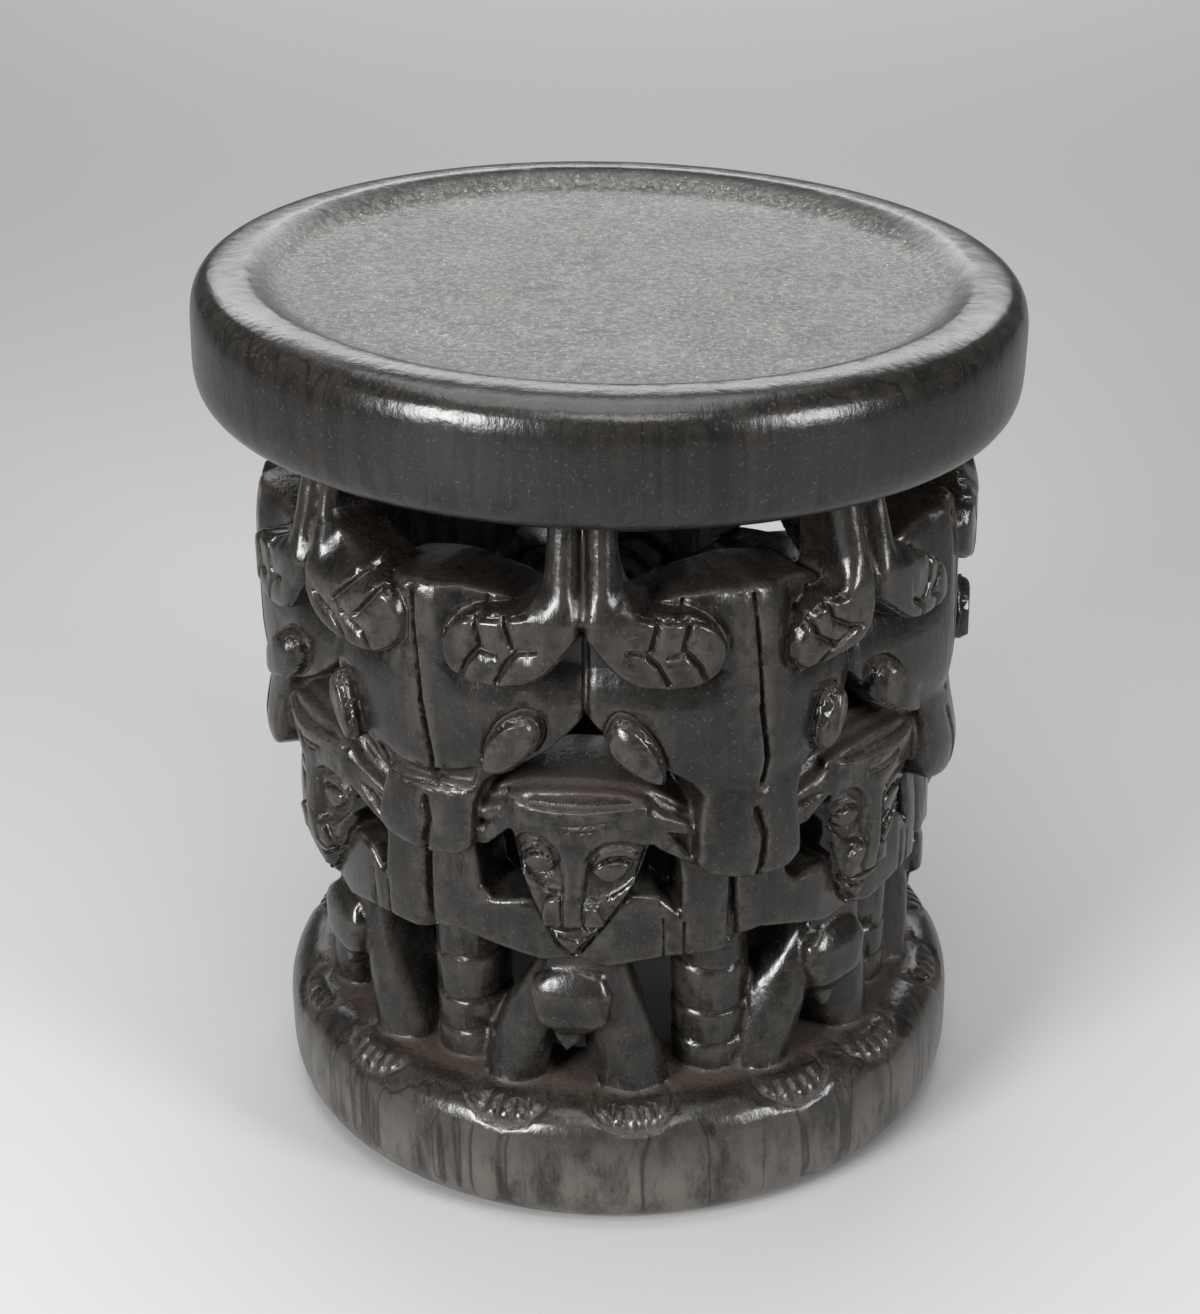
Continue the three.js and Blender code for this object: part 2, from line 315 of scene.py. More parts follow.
def makeLimbs(left, right):
    rim = sided(limbKinds[left]["outline"][:-1], -1) + limbKinds[right]["outline"][::-1]
    return slab(rounded(rim, 1), limb["back"], limb["front"], 4.0, 4, 4.0, limbShape)


# the squatting figures of the lower tier
figure = {
    "middle": 185,      # height about which a figure leans
    "keep": 34,         # within this of the middle nothing is stretched
    "half": 75.6,       # from the middle to the next figure, as drawn
    # from which radius to which each form stands
    "depth": {
        "face": (130, 165),
        "nose": (150, 169.4),
        "wings": (150, 168.4),
        "crown": (108, 152),
        "brow": (128, 160),
        "trunk": (116, 147),
        "arms": (125, 156.5),
        "belly": (128, 155),
        "tip": (130, 149),
        "leg": (117, 148),
        "ears": (138, 161),
        "shelf": (110, 145),
    },
    "face": [(-26.5, 225), (-19, 222.5), (-8, 221.5), (3, 221.5), (16, 222.5), (32.5, 223), (33.5, 204),
             (30.5, 194), (27, 184.5), (21.5, 174.5), (13.5, 163), (6, 153), (0, 145), (-2.5, 142.8),
             (-5, 145), (-10, 150.5), (-17, 163.5), (-21, 175), (-25, 189), (-27.2, 202), (-27.5, 214)],
    "nose": [(-5.5, 203), (4.5, 203), (3.6, 189), (3.0, 162.5), (-5.2, 162.5), (-4.2, 189)],
    "wings": [[(-15, 168), (-13.5, 175), (-10.8, 177.5), (-6.4, 178), (-6, 162.3), (-14.3, 161.8)],
              [(3.8, 172.5), (6.7, 173.8), (9.8, 172.6), (12.6, 165), (12.4, 162.5), (3.8, 162.4)]],
    "ears": [[(-26.5, 224.5), (-29, 222.5), (-37.5, 218.5), (-46, 215), (-53, 213), (-53, 195.5),
              (-40, 198.8), (-31, 207.5), (-26.5, 210)],
             [(32.5, 224), (34.5, 221.5), (39.5, 216.5), (46.5, 213.5), (54.5, 209.5), (59, 204),
              (58, 187.5), (49, 192.7), (40, 198.7), (32.5, 204.5)]],
    "arms": [(-78, 200), (-78, 150), (-75, 148.5), (-69, 147), (-60, 148.5), (-42, 145), (-18, 138),
             (0, 139.5), (13, 135.5), (27, 139), (41, 141.8), (66, 141), (74, 142), (78, 144), (78, 200),
             (47, 200), (49.5, 180), (48.5, 163), (43.5, 168.5), (38, 173), (24, 174.5), (8, 165),
             (-12, 165), (-22, 170), (-41, 168.5), (-46.5, 173), (-49, 187), (-50, 200)],
    "crown": [(0, 232), (20, 231), (34, 227), (46, 220), (56, 213), (56, 204), (0, 204)],
    "shelf": [(0, 236), (44, 234), (58, 226), (58, 206), (0, 206)],   # behind all crowns but the first
    "brow": [(0, 229.5), (20, 228.5), (31, 225), (29, 208)],
    "trunk": [(18, 216), (16, 170), (19, 112), (0, 100)],
    "belly": [(-24.5, 124), (-15, 130), (-1.5, 132.5), (11, 128.5), (15.5, 119), (13.5, 105), (3, 98),
              (-11, 97), (-21, 104), (-25, 115)],
    "tip": [(-14, 101), (-14, 95), (-8, 86), (1, 95), (2, 101)],
    "leftLeg": [(-12, 134), (-24, 131), (-33, 118), (-46, 104), (-54, 86), (-58.5, 72), (-57, 60),
                (-24, 60), (-20, 75), (-18, 91), (-13, 101)],
    "rightLeg": [(4, 134), (22, 132), (29, 114), (38, 92), (45, 74), (47, 60), (12, 60), (2, 72),
                 (-1.5, 90), (2, 104)],
}


def faceShape(x, y, r):
    down = np.clip((224 - y) / 80, 0, 1)
    bow = ((x - 2) / 31) ** 2 * 3.0
    share = np.clip((r - 145) / 18, 0, 1)
    return r - (down * 7 + bow) * share


def noseShape(x, y, r):
    down = np.clip((224 - y) / 80, 0, 1)
    flat = np.clip((y - 178) / 24, 0, 1) * 4.2
    return r - (down * 7 + flat) * np.clip((r - 145) / 18, 0, 1)


def wingShape(x, y, r):
    down = np.clip((224 - y) / 80, 0, 1)
    knob = np.clip((y - 170) / 6, 0, 1) * 1.0
    return r + (knob - down * 7) * np.clip((r - 145) / 18, 0, 1)


def earShape(x, y, r):
    out = np.clip((np.abs(x) - 30) / 26, 0, 1) * 2.5
    top = np.clip((y - (226 - np.abs(x) * 0.3)) / 5, 0, 1) * 2
    return r - (out + top) * np.clip((r - 150) / 10, 0, 1)


def armShape(x, y, r):
    upper = np.clip((40 - np.abs(x)) / 40, 0, 1) * 4.5
    elbow = np.clip((np.abs(x) - 66) / 12, 0, 1) ** 2 * 4
    wrist = np.clip((y - 165) / 30, 0, 1) * 3
    return r - (upper + elbow + wrist) * np.clip((r - 135) / 20, 0, 1)


def legShape(x, y, r):
    # a shin leans out to the foot and is round across
    left = x < -4
    middle = np.where(left, -15 - (132 - y) * 0.38, 14 + (132 - y) * 0.17)
    width = np.where(left, 14 + (132 - y) * 0.05, 13 + (132 - y) * 0.1)
    across = np.clip(np.abs(x - middle) / width, 0, 1.2)
    return r - (across ** 2 * 8 + np.clip((y - 96) / 36, 0, 1) * 4) * np.clip((r - 120) / 24, 0, 1)


def bellyShape(x, y, r):
    top = np.clip((y - 121) / 12, 0, 1) * 7
    side = np.abs((x + 4) / 20) ** 4 * 3
    low = np.clip((106 - y) / 9, 0, 1) ** 1.5 * 5
    return r - (top + side + low) * np.clip((r - 133) / 20, 0, 1)


def makeFigure():
    depth = figure["depth"]
    forms = [
        slab(figure["face"], *depth["face"], 1.2, 2, 6.0, faceShape),
        slab(figure["nose"], *depth["nose"], 0.8, 2, 6.0, noseShape),
        slab(mirrored(figure["crown"]), *depth["crown"], 2, 2),
        slab(mirrored(figure["brow"]), *depth["brow"], 2, 2),
        slab(mirrored(figure["trunk"]), *depth["trunk"], 3, 2),
        slab(figure["arms"], *depth["arms"], 2.6, 3, 9.0, armShape),
        slab(figure["belly"], *depth["belly"], 2.5, 3, 5.0, bellyShape),
        slab(figure["tip"], *depth["tip"], 2, 2),
        slab(figure["leftLeg"], *depth["leg"], 3, 3, 6.0, legShape),
        slab(figure["rightLeg"], *depth["leg"], 3, 3, 6.0, legShape),
    ]
    for outline in figure["wings"]:
        forms.append(slab(outline, *depth["wings"], 0.9, 2, 6.0, wingShape))
    for outline in figure["ears"]:
        forms.append(slab(outline, *depth["ears"], 2.0, 3, 6.0, earShape))
    return joined(forms, "figure")


# the banded columns under the elbows
column = {
    "cuts": [79, 96.5, 120],
    "radius": 18.3,
    "foot": 60,
    "top": 152,
    "taper": 0.96,      # of the foot of each drum
    "faces": 32,
    "band": {"low": 66, "high": 130, "inner": 14, "outer": 20.5, "below": 3.2, "above": 0.9, "deep": 1.7},
}


def makeColumn():
    heights = [column["foot"]] + column["cuts"] + [column["top"]]
    forms = []
    for low, high in zip(heights, heights[1:]):
        middle = (low + high) / 2
        selectNothing()
        bpy.ops.mesh.primitive_cylinder_add(
            vertices=column["faces"], radius=column["radius"],
            depth=high - low + 1, location=(0, 0, middle)
        )
        drum = bpy.context.object
        bpy.ops.object.transform_apply(location=True)
        places = points(drum)
        top = places[:, 2] > middle
        places[~top, :2] *= column["taper"]
        setPoints(drum, places)
        forms.append(drum)
    return joined(forms, "column")


# from a flat form to its place on the wall, and back
def stretched(x, keep, half, left, right):
    wide = np.where(x < 0, left, right)
    out = np.maximum(np.abs(x) - keep, 0)
    return np.sign(x) * (np.minimum(np.abs(x), keep) + out * (wide - keep) / (half - keep))


def relaxed(x, keep, half, left, right):
    wide = np.where(x < 0, left, right)
    out = np.maximum(np.abs(x) - keep, 0)
    return np.sign(x) * (np.minimum(np.abs(x), keep) + out * (half - keep) / (wide - keep))


def halfWays(turns, i, radius):
    # how far a carving reaches to its neighbours' seams, in millimetres along the wall
    left = (turns[i] - turns[i - 1]) % 360
    right = (turns[(i + 1) % len(turns)] - turns[i]) % 360
    return math.radians(left) * radius / 2, math.radians(right) * radius / 2


def seamWays(i):
    left = (heads["turn"][i] - limbs["turn"][i]) % 360
    right = (limbs["turn"][(i + 1) % carvings] - heads["turn"][i]) % 360
    return math.radians(left) * headRadius, math.radians(right) * headRadius


def onWall(source, radius, turn, plan):
    piece = source.copy()
    piece.data = source.data.copy()
    bpy.context.scene.collection.objects.link(piece)
    places = points(piece)
    x, y = plan(places[:, 0], places[:, 1])
    angle = math.radians(turn) + x / radius
    r = places[:, 2]
    setPoints(piece, np.stack([r * np.sin(angle), -r * np.cos(angle), y], 1))
    return piece


def headPlan(i):
    left, right = seamWays(i)
    length = heads["muzzle"][i]

    def plan(x, y):
        below = head["muzzleFrom"] + (y - head["muzzleFrom"]) * length
        out = stretched(x, head["keep"], head["half"], left, right)
        return out, np.where(y < head["muzzleFrom"], below, y)
    return plan


def personPlan(i):
    left, right = halfWays(people["turn"], i, faceRadius)
    lean, lift = people["lean"][i], people["lift"][i]

    def plan(x, y):
        out = stretched(x, figure["keep"], figure["half"], left, right)
        return out + lean * (y - figure["middle"]), y + lift * np.clip((y - 100) / 60, 0, 1)
    return plan


def flatPlan(x, y):
    return x, y


def makeWall():
    headForm, figureForm, columnForm = makeHead(), makeFigure(), makeColumn()
    shelfForm = slab(mirrored(figure["shelf"]), *figure["depth"]["shelf"], 2, 2)
    print("flat forms made")
    forms = []
    for i in range(carvings):
        forms.append(onWall(headForm, headRadius, heads["turn"][i], headPlan(i)))
        pair = makeLimbs(limbs["left"][i], limbs["right"][i])
        forms.append(onWall(pair, headRadius, limbs["turn"][i], flatPlan))
        bpy.data.objects.remove(pair)
        forms.append(onWall(figureForm, faceRadius, people["turn"][i], personPlan(i)))
        if i:
            forms.append(onWall(shelfForm, faceRadius, people["turn"][i], flatPlan))
        post = columnForm.copy()
        post.data = columnForm.data.copy()
        bpy.context.scene.collection.objects.link(post)
        turn = math.radians(posts[i])
        place = (columnRadius * math.sin(turn), -columnRadius * math.cos(turn), 0)
        post.data.transform(Matrix.Translation(place) @ Matrix.Rotation(turn, 4, "Z"))
        forms.append(post)
    for source in (headForm, figureForm, columnForm, shelfForm):
        bpy.data.objects.remove(source)
    return forms


# the seat: a thick round with a shallow dish, dipping a little to the right
seat = {
    "radius": 192.1,
    "low": 361,
    "high": 420,
    "corner": 25,
    "fullness": 0.665,   # of the rounded corner, 0.5 is a true arc
    "dish": [(1.5, 0.3), (4.0, 1.6), (4.5, 2.6), (3.5, 2.4), (4.0, 1.2), (14.0, 0.5)],
    "tilt": 1.9,
    "faces": 180,
}


def selectRim(piece, height, radius, within=0.5):
    bpy.ops.object.mode_set(mode="OBJECT")
    for face in piece.data.polygons:
        face.select = False
    for edge in piece.data.edges:
        edge.select = False
    for corner in piece.data.vertices:
        corner.select = abs(corner.co.z - height) < within and abs(corner.co.xy.length - radius) < within
    for edge in piece.data.edges:
        edge.select = all(piece.data.vertices[i].select for i in edge.vertices)
    bpy.ops.object.mode_set(mode="EDIT")
    bpy.ops.mesh.select_mode(type="EDGE")


def selectCap(piece, facingUp):
    bpy.ops.object.mode_set(mode="OBJECT")
    for corner in piece.data.vertices:
        corner.select = False
    for edge in piece.data.edges:
        edge.select = False
    best = max(piece.data.polygons, key=lambda f: (f.normal.z if facingUp else -f.normal.z) * f.area)
    for face in piece.data.polygons:
        face.select = face.index == best.index
    bpy.ops.object.mode_set(mode="EDIT")
    bpy.ops.mesh.select_mode(type="FACE")


def makeSeat():
    selectNothing()
    middle = (seat["low"] + seat["high"]) / 2
    bpy.ops.mesh.primitive_cylinder_add(
        vertices=seat["faces"], radius=seat["radius"],
        depth=seat["high"] - seat["low"], location=(0, 0, middle)
    )
    piece = bpy.context.object
    bpy.ops.object.transform_apply(location=True)
    for height in (seat["low"], seat["high"]):
        selectRim(piece, height, seat["radius"])
        bpy.ops.mesh.bevel(offset=seat["corner"], segments=10, profile=seat["fullness"], affect="EDGES")
    selectCap(piece, True)
    for inward, down in seat["dish"]:
        bpy.ops.mesh.inset(thickness=inward)
        bpy.ops.transform.translate(value=(0, 0, -down))
    bpy.ops.object.mode_set(mode="OBJECT")
    tilt = Matrix.Translation((0, 0, middle)) @ Matrix.Rotation(math.radians(seat["tilt"]), 4, "Y")
    piece.data.transform(tilt @ Matrix.Translation((0, 0, -middle)))
    piece.name = "seat"
    return piece


# the ring it stands on
base = {
    "radius": 168.7,
    "high": 64,
    "corner": 26,
    "fullness": 0.6,
    "hole": 102,
    "holeTop": 110,
    "faces": 160,
}


def makeBase():
    selectNothing()
    bpy.ops.mesh.primitive_cylinder_add(
        vertices=base["faces"], radius=base["radius"],
        depth=base["high"], location=(0, 0, base["high"] / 2)
    )
    piece = bpy.context.object
    bpy.ops.object.transform_apply(location=True)
    for height in (0, base["high"]):
        selectRim(piece, height, base["radius"])
        bpy.ops.mesh.bevel(offset=base["corner"], segments=9, profile=base["fullness"], affect="EDGES")
    flat = base["radius"] - base["corner"]
    for facingUp, radius in ((True, base["holeTop"]), (False, base["hole"])):
        selectCap(piece, facingUp)
        bpy.ops.mesh.inset(thickness=flat - radius)
        bpy.ops.mesh.delete(type="FACE")
    bpy.ops.object.mode_set(mode="OBJECT")
    for edge in piece.data.edges:
        ends = [piece.data.vertices[i].co for i in edge.vertices]
        edge.select = all(p.xy.length < base["holeTop"] + 1 for p in ends)
    bpy.ops.object.mode_set(mode="EDIT")
    bpy.ops.mesh.select_mode(type="EDGE")
    bpy.ops.mesh.bridge_edge_loops()
    bpy.ops.object.mode_set(mode="OBJECT")
    piece.name = "base"
    return piece


net = {
    "voxel": 1.3,
    "triangles": 196000,
    "innerCut": 0.93,       # of the hidden inner side, thinned out first
    "rounds": ((8, 40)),   # of smoothing, for the edges and for the hollows
}

stool = joined([makeSeat(), makeBase()] + makeWall(), "carved_stool")
print("masses joined")
applied(stool, "REMESH", mode="VOXEL", voxel_size=net["voxel"], adaptivity=0)
applied(stool, "SMOOTH", factor=0.5, iterations=1)
print("one solid of", len(stool.data.polygons), "faces")


# relief, cut into or raised from the surface along the wall's own coordinates
def distanceTo(x, y, path):
    best = np.full(x.shape, 1e9)
    for (ax, ay), (bx, by) in zip(path, path[1:]):
        dx, dy = bx - ax, by - ay
        along = np.clip(((x - ax) * dx + (y - ay) * dy) / (dx * dx + dy * dy), 0, 1)
        best = np.minimum(best, np.hypot(x - ax - along * dx, y - ay - along * dy))
    return best


def inside(x, y, rim):
    within = np.zeros(x.shape, dtype=bool)
    for (ax, ay), (bx, by) in zip(rim, rim[1:] + rim[:1]):
        if ay == by:
            continue
        crossing = (ay > y) != (by > y)
        within ^= crossing & (x < (bx - ax) * (y - ay) / (by - ay) + ax)
    return within


def relief(x, y, marks):
    # height gained or lost at each place; a cut is a round groove and a patch a pillow or a pit
    gain = np.zeros(x.shape)
    for mark in marks:
        path = mark["path"]
        reach = mark["half"] if mark["kind"] == "cut" else 0
        xs, ys = [p[0] for p in path], [p[1] for p in path]
        near = (x > min(xs) - reach) & (x < max(xs) + reach)
        near &= (y > min(ys) - reach) & (y < max(ys) + reach)
        if not near.any():
            continue
        u, v = x[near], y[near]
        if mark["kind"] == "cut":
            away = distanceTo(u, v, path) / mark["half"]
            gain[near] -= mark["deep"] * np.clip(1 - away ** 2, 0, 1) ** 1.5
        else:
            depth = np.clip(distanceTo(u, v, path + path[:1]) / mark["soft"], 0, 1)
            pillow = np.sqrt(1 - (1 - depth) ** 2)
            gain[near] += mark["rise"] * pillow * inside(u, v, path)
    return gain


gouge = {"wider": 1.25, "shallower": 0.95}      # than a cut is drawn


def cut(path, half, deep):
    half, deep = half * gouge["wider"], deep * gouge["shallower"]
    return {"kind": "cut", "path": path, "half": half, "deep": deep}


def patch(path, rise, soft):
    return {"kind": "patch", "path": path, "rise": rise, "soft": soft}


def closed(path):
    return path + path[:1]


headMarks = [
    cut([(-2, 321), (-1, 305), (0.5, 285), (1.4, 269)], 1.1, 4),
    cut([(1, 269), (3, 255), (4.6, 242), (3.4, 228)], 1.4, 5),
    cut([(77, 312), (77, 290), (77, 266)], 2.0, 1.2),
    cut([(-77, 312), (-77, 290), (-77, 266)], 2.0, 1.2),
    cut([(0, 217.5), (3, 205), (-0.3, 183)], 1.9, 5),
    cut([(-30, 240), (-18, 233), (0, 229), (16, 231), (28, 237)], 5, 1.0),
]
for side in (-1, 1):
    rim = rounded(head["disc"][side], 1)
    headMarks.append(cut(closed(rim), 2.0, 3.0))
    headMarks.append(patch(rim, 1.0, 2.0))
lipMarks = [
    patch([(-30, 239), (-16, 237), (0, 235.5), (16, 237), (26, 239), (23, 228), (-24, 227)], -3.5, 3.0),
    cut([(-25, 227), (-10, 224.5), (8, 226), (24, 228)], 1.6, 1.2),
]
eyes = {
    "left": [(-24.4, 192.5), (-21, 197.2), (-15.6, 198.4), (-10.5, 196.3), (-7.6, 193), (-10, 189.4),
             (-15, 187.3), (-20, 188.3)],
    "right": [(6.6, 190.5), (11, 194.4), (17, 195.7), (23, 195), (25.8, 192.6), (22.5, 187.3),
              (17, 183.8), (11.5, 184.5)],
}
faceMarks = [
    patch([(-29, 199), (-24.5, 206.8), (-18.9, 208.8), (-12.4, 206.8), (-7.4, 200.5), (-5.9, 192),
           (-5.6, 179), (-10, 178.6), (-15, 180), (-20, 184), (-26, 190)], -3.8, 2.6),
    patch([(4.9, 192), (6.4, 198.7), (12, 204.8), (20, 206), (28, 203.7), (33.5, 200), (30, 188),
           (22, 180), (14, 175), (9, 174.5), (4.2, 176)], -3.8, 2.6),
    cut([(-27.5, 201.5), (-23.6, 206.8), (-18.9, 208.6), (-12.7, 206.8), (-8, 201.3), (-6.2, 196)],
        1.2, 1.6),
    cut([(5.2, 196), (8.3, 201.7), (14, 205.3), (21, 205.8), (27.5, 203.6), (32, 201.8)], 1.2, 1.6),
    patch([(-25.5, 197.5), (-22, 203.2), (-17, 204.6), (-11.5, 201), (-7.8, 194.8), (-8.6, 193.6),
           (-13, 198.8), (-19, 200.2), (-23.5, 197)], 2.6, 1.3),
    patch([(7.4, 194.5), (11.5, 200.5), (18, 202.6), (25, 201), (29.5, 197), (27.5, 194.5), (22, 197.4),
           (15, 197.4), (8.5, 192.5)], 2.6, 1.3),
    patch(eyes["left"], 3.2, 2.4),
    patch(eyes["right"], 3.2, 2.4),
    cut(closed(eyes["left"]), 0.9, 1.6),
    cut(closed(eyes["right"]), 0.9, 1.6),
    cut([(-7.7, 215), (-3, 213.8), (3.9, 214.5), (14.2, 216)], 0.9, 1.4),
    cut([(-6.9, 212.6), (-1.3, 211.2), (5.6, 211.5), (10.3, 212.8)], 0.9, 1.1),
    cut([(-15, 160.6), (-6, 160.2), (4, 160.4), (13.4, 161.2)], 1.0, 2.4),
    cut([(-13.5, 158.6), (-6.5, 154.6), (-1, 153.4), (5.3, 155.2), (11.4, 159.4)], 1.4, 2.6),
    patch([(-12.5, 159.4), (10.4, 160.2), (5.3, 156.6), (-1, 154.9), (-6.5, 156)], 1.8, 1.4),
    cut([(-5.7, 178), (-5.8, 170), (-5.6, 162)], 0.9, 1.8),
    cut([(3.4, 173), (3.5, 162)], 0.9, 1.8),
]
earMarks = [
    patch([(-54, 209.8), (-48, 211), (-34.4, 212.4), (-40.7, 208.0), (-48, 205), (-54, 203)], -4.5, 1.6),
    patch([(40.5, 209), (48, 207), (60, 204), (60, 194), (52, 195), (46, 202)], -4.5, 1.8),
]
armMarks = [
    cut([(40, 162), (40.2, 152), (40, 142)], 0.7, 2.5),
    cut([(50, 159), (50.2, 150), (50, 141)], 0.8, 3.0),
    cut([(-57, 200), (-56, 185), (-57, 172)], 0.6, 1.2),
    cut([(-75.6, 200), (-75.6, 185), (-75.8, 145)], 1.8, 3),
    cut([(75.6, 200), (75.4, 176), (75.8, 140)], 1.8, 3),
    cut(closed(figure["face"]), 2.2, 3.0),
]


def carveLimb(kind, side):
    marks = []
    for path in limbKinds[kind]["cuts"]:
        marks.append(cut(sided(path, side), 1.4, 3.8))
    marks.append(cut(sided(limbKinds[kind]["outline"][4:], side), 1.8, 1.6))
    return marks


# where the marks of each kind fall: heights, least radius, and half width in degrees
zones = {
    "head": {"low": 180, "high": 330, "inner": 150, "half": 32},
    "limb": {"low": 276, "high": 358, "inner": 150, "half": 24},
    "person": {"low": 130, "high": 226, "inner": 135, "half": 32},
    "foot": {"low": 34, "high": 66, "inner": 138, "half": 9},
}


def awayFrom(turn, angle):
    return (angle - turn + 180) % 360 - 180


def withinZone(kind, away, radius, z):
    zone = zones[kind]
    here = (z > zone["low"]) & (z < zone["high"]) & (radius > zone["inner"])
    return here & (np.abs(away) < zone["half"])


def personRelief(u, v, r):
    onFace = (r > 154) & (u > -28) & (u < 34)
    onEar = (r > 150) & (r < 163.5) & (v > 188)
    gain = np.where(onFace, relief(u, v, faceMarks), np.where(onEar, relief(u, v, earMarks), 0))
    return gain + np.where(v < 200, relief(u, v, armMarks), 0) * (r < 159)


def carveWall(places, facing):
    x, y, z = places.T
    radius = np.hypot(x, y)
    angle = np.degrees(np.arctan2(x, -y))
    outward = (facing[:, 0] * x + facing[:, 1] * y) / radius
    front = np.clip((outward - 0.05) / 0.35, 0, 1) * (radius > 135)
    gain = np.zeros(len(x))
    for i in range(carvings):
        away = awayFrom(heads["turn"][i], angle)
        here = (front > 0) & withinZone("head", away, radius, z)
        left, right = seamWays(i)
        u = relaxed(np.radians(away[here]) * headRadius, head["keep"], head["half"], left, right)
        start = head["muzzleFrom"]
        v = np.where(z[here] < start, start + (z[here] - start) / heads["muzzle"][i], z[here])
        marks = headMarks + (lipMarks if heads["lip"][i] else [])
        gain[here] += relief(u, v, marks) * front[here]
        away = awayFrom(limbs["turn"][i], angle)
        here = (front > 0) & withinZone("limb", away, radius, z)
        u = np.radians(away[here]) * headRadius
        marks = carveLimb(limbs["left"][i], -1) + carveLimb(limbs["right"][i], 1)
        gain[here] += relief(u, z[here], marks) * front[here]
        away = awayFrom(people["turn"][i], angle)
        here = (front > 0) & withinZone("person", away, radius, z)
        left, right = halfWays(people["turn"], i, faceRadius)
        v = z[here] - people["lift"][i]
        u = np.radians(away[here]) * faceRadius - people["lean"][i] * (v - figure["middle"])
        u = relaxed(u, figure["keep"], figure["half"], left, right)
        gain[here] += personRelief(u, v, radius[here]) * front[here]
    return gain


# the feet cut into the base, drawn with x along the ring and y as the distance from the middle
feet = [-71.2, -47.6, -19.4, 2.3, 31.1, 50.6, 77.3, 103, 128, 150, 174, 197, 231, 253]
footRadius = 155
footMarks = [
    cut([(-17.5, 143), (-19, 152), (-17.5, 159), (-11, 164), (0, 165.5), (11, 164), (17.5, 159),
         (19, 152), (17.5, 143)], 1.7, 1.6),
    cut([(-10.5, 162.5), (-9.5, 156)], 1.2, 1.6),
    cut([(-3.5, 164), (-3.2, 157)], 1.2, 1.6),
    cut([(3.5, 164), (3.2, 157)], 1.2, 1.6),
    cut([(10.5, 162.5), (9.5, 156)], 1.2, 1.6),
]


def carveBase(places, facing):
    x, y, z = places.T
    radius = np.hypot(x, y)
    angle = np.degrees(np.arctan2(x, -y))
    gain = np.zeros(len(x))
    for foot in feet:
        away = awayFrom(foot, angle)
        here = (facing[:, 2] > 0.1) & withinZone("foot", away, radius, z)
        u = np.radians(away[here]) * footRadius
        gain[here] += relief(u, radius[here], footMarks)
    return gain


def carvePosts(places):
    # a step round each column where one drum stands on the next
    x, y, z = places.T
    band = column["band"]
    gain = np.zeros((len(x), 2))
    for turn in posts:
        a = math.radians(turn)
        dx, dy = x - columnRadius * math.sin(a), y + columnRadius * math.cos(a)
        away = np.hypot(dx, dy)
        here = (away > band["inner"]) & (away < band["outer"]) & (z > band["low"]) & (z < band["high"])
        around = np.degrees(np.arctan2(dx[here] * math.cos(a) + dy[here] * math.sin(a),
                                       dx[here] * math.sin(a) - dy[here] * math.cos(a)))
        deep = np.zeros(around.shape)
        for height in column["cuts"]:
            edge = height + np.abs(around) / 90 * 3.5 + np.sin(np.radians(around * 3 + height * 9)) * 0.6
            above = z[here] - edge
            lower = np.clip(1 + above / band["below"], 0, 1) * (above <= 0)
            upper = np.clip(1 - above / band["above"], 0, 1) * (above > 0)
            deep = np.maximum(deep, lower + upper)
        scale = band["deep"] * deep / away[here]
        gain[here, 0] -= dx[here] * scale
        gain[here, 1] -= dy[here] * scale
    return gain


def reliefOn(piece):
    # the whole relief as a shift of every corner
    places, facing = points(piece), normals(piece)
    radius = np.maximum(np.hypot(places[:, 0], places[:, 1]), 1)
    shift = facing * carveBase(places, facing)[:, None]
    shift[:, :2] += places[:, :2] / radius[:, None] * carveWall(places, facing)[:, None]
    shift[:, :2] += carvePosts(places)
    return shift


def refined(piece, shift):
    # a finer net where something is cut
    cutHere = np.linalg.norm(shift, axis=1) > 0.25
    corners = np.empty(len(piece.data.loops), dtype=np.int32)
    piece.data.loops.foreach_get("vertex_index", corners)
    starts = np.empty(len(piece.data.polygons), dtype=np.int32)
    piece.data.polygons.foreach_get("loop_start", starts)
    picked = np.maximum.reduceat(cutHere[corners].astype(np.int8), starts) > 0
    selectOnly([piece])
    bpy.ops.object.mode_set(mode="EDIT")
    bpy.ops.mesh.select_mode(type="FACE")
    bpy.ops.mesh.select_all(action="DESELECT")
    bpy.ops.object.mode_set(mode="OBJECT")
    piece.data.polygons.foreach_set("select", picked)
    bpy.ops.object.mode_set(mode="EDIT")
    bpy.ops.mesh.subdivide(number_cuts=1, smoothness=0)
    bpy.ops.object.mode_set(mode="OBJECT")


refined(stool, reliefOn(stool))
print("net of", len(stool.data.polygons), "faces")
shift = reliefOn(stool)
setPoints(stool, points(stool) + shift)
print("relief carved")


def neighbourMean(values, ends, count):
    total = np.zeros((len(count), values.shape[1]))
    for axis in range(values.shape[1]):
        total[:, axis] += np.bincount(ends[0], values[ends[1], axis], len(count))
        total[:, axis] += np.bincount(ends[1], values[ends[0], axis], len(count))
    return total / count[:, None]


def bulges(piece, rounds):
    # how far each corner stands proud of the surface smoothed over, in millimetres
    ends = np.empty(len(piece.data.edges) * 2, dtype=np.int32)
    piece.data.edges.foreach_get("vertices", ends)
    ends = ends.reshape(-1, 2).T
    places, facing = points(piece), normals(piece)
    count = np.maximum(np.bincount(ends.ravel(), minlength=len(places)), 1)
    smooth = places.copy()
    found = []
    for step in range(max(rounds)):
        smooth = 0.3 * smooth + 0.7 * neighbourMean(smooth, ends, count)
        if step + 1 in rounds:
            found.append(((places - smooth) * facing).sum(axis=1))
    return found


def setValue(piece, name, values):
    layer = piece.data.attributes.new(name, "FLOAT", "POINT")
    layer.data.foreach_set("value", values.astype(np.float32))


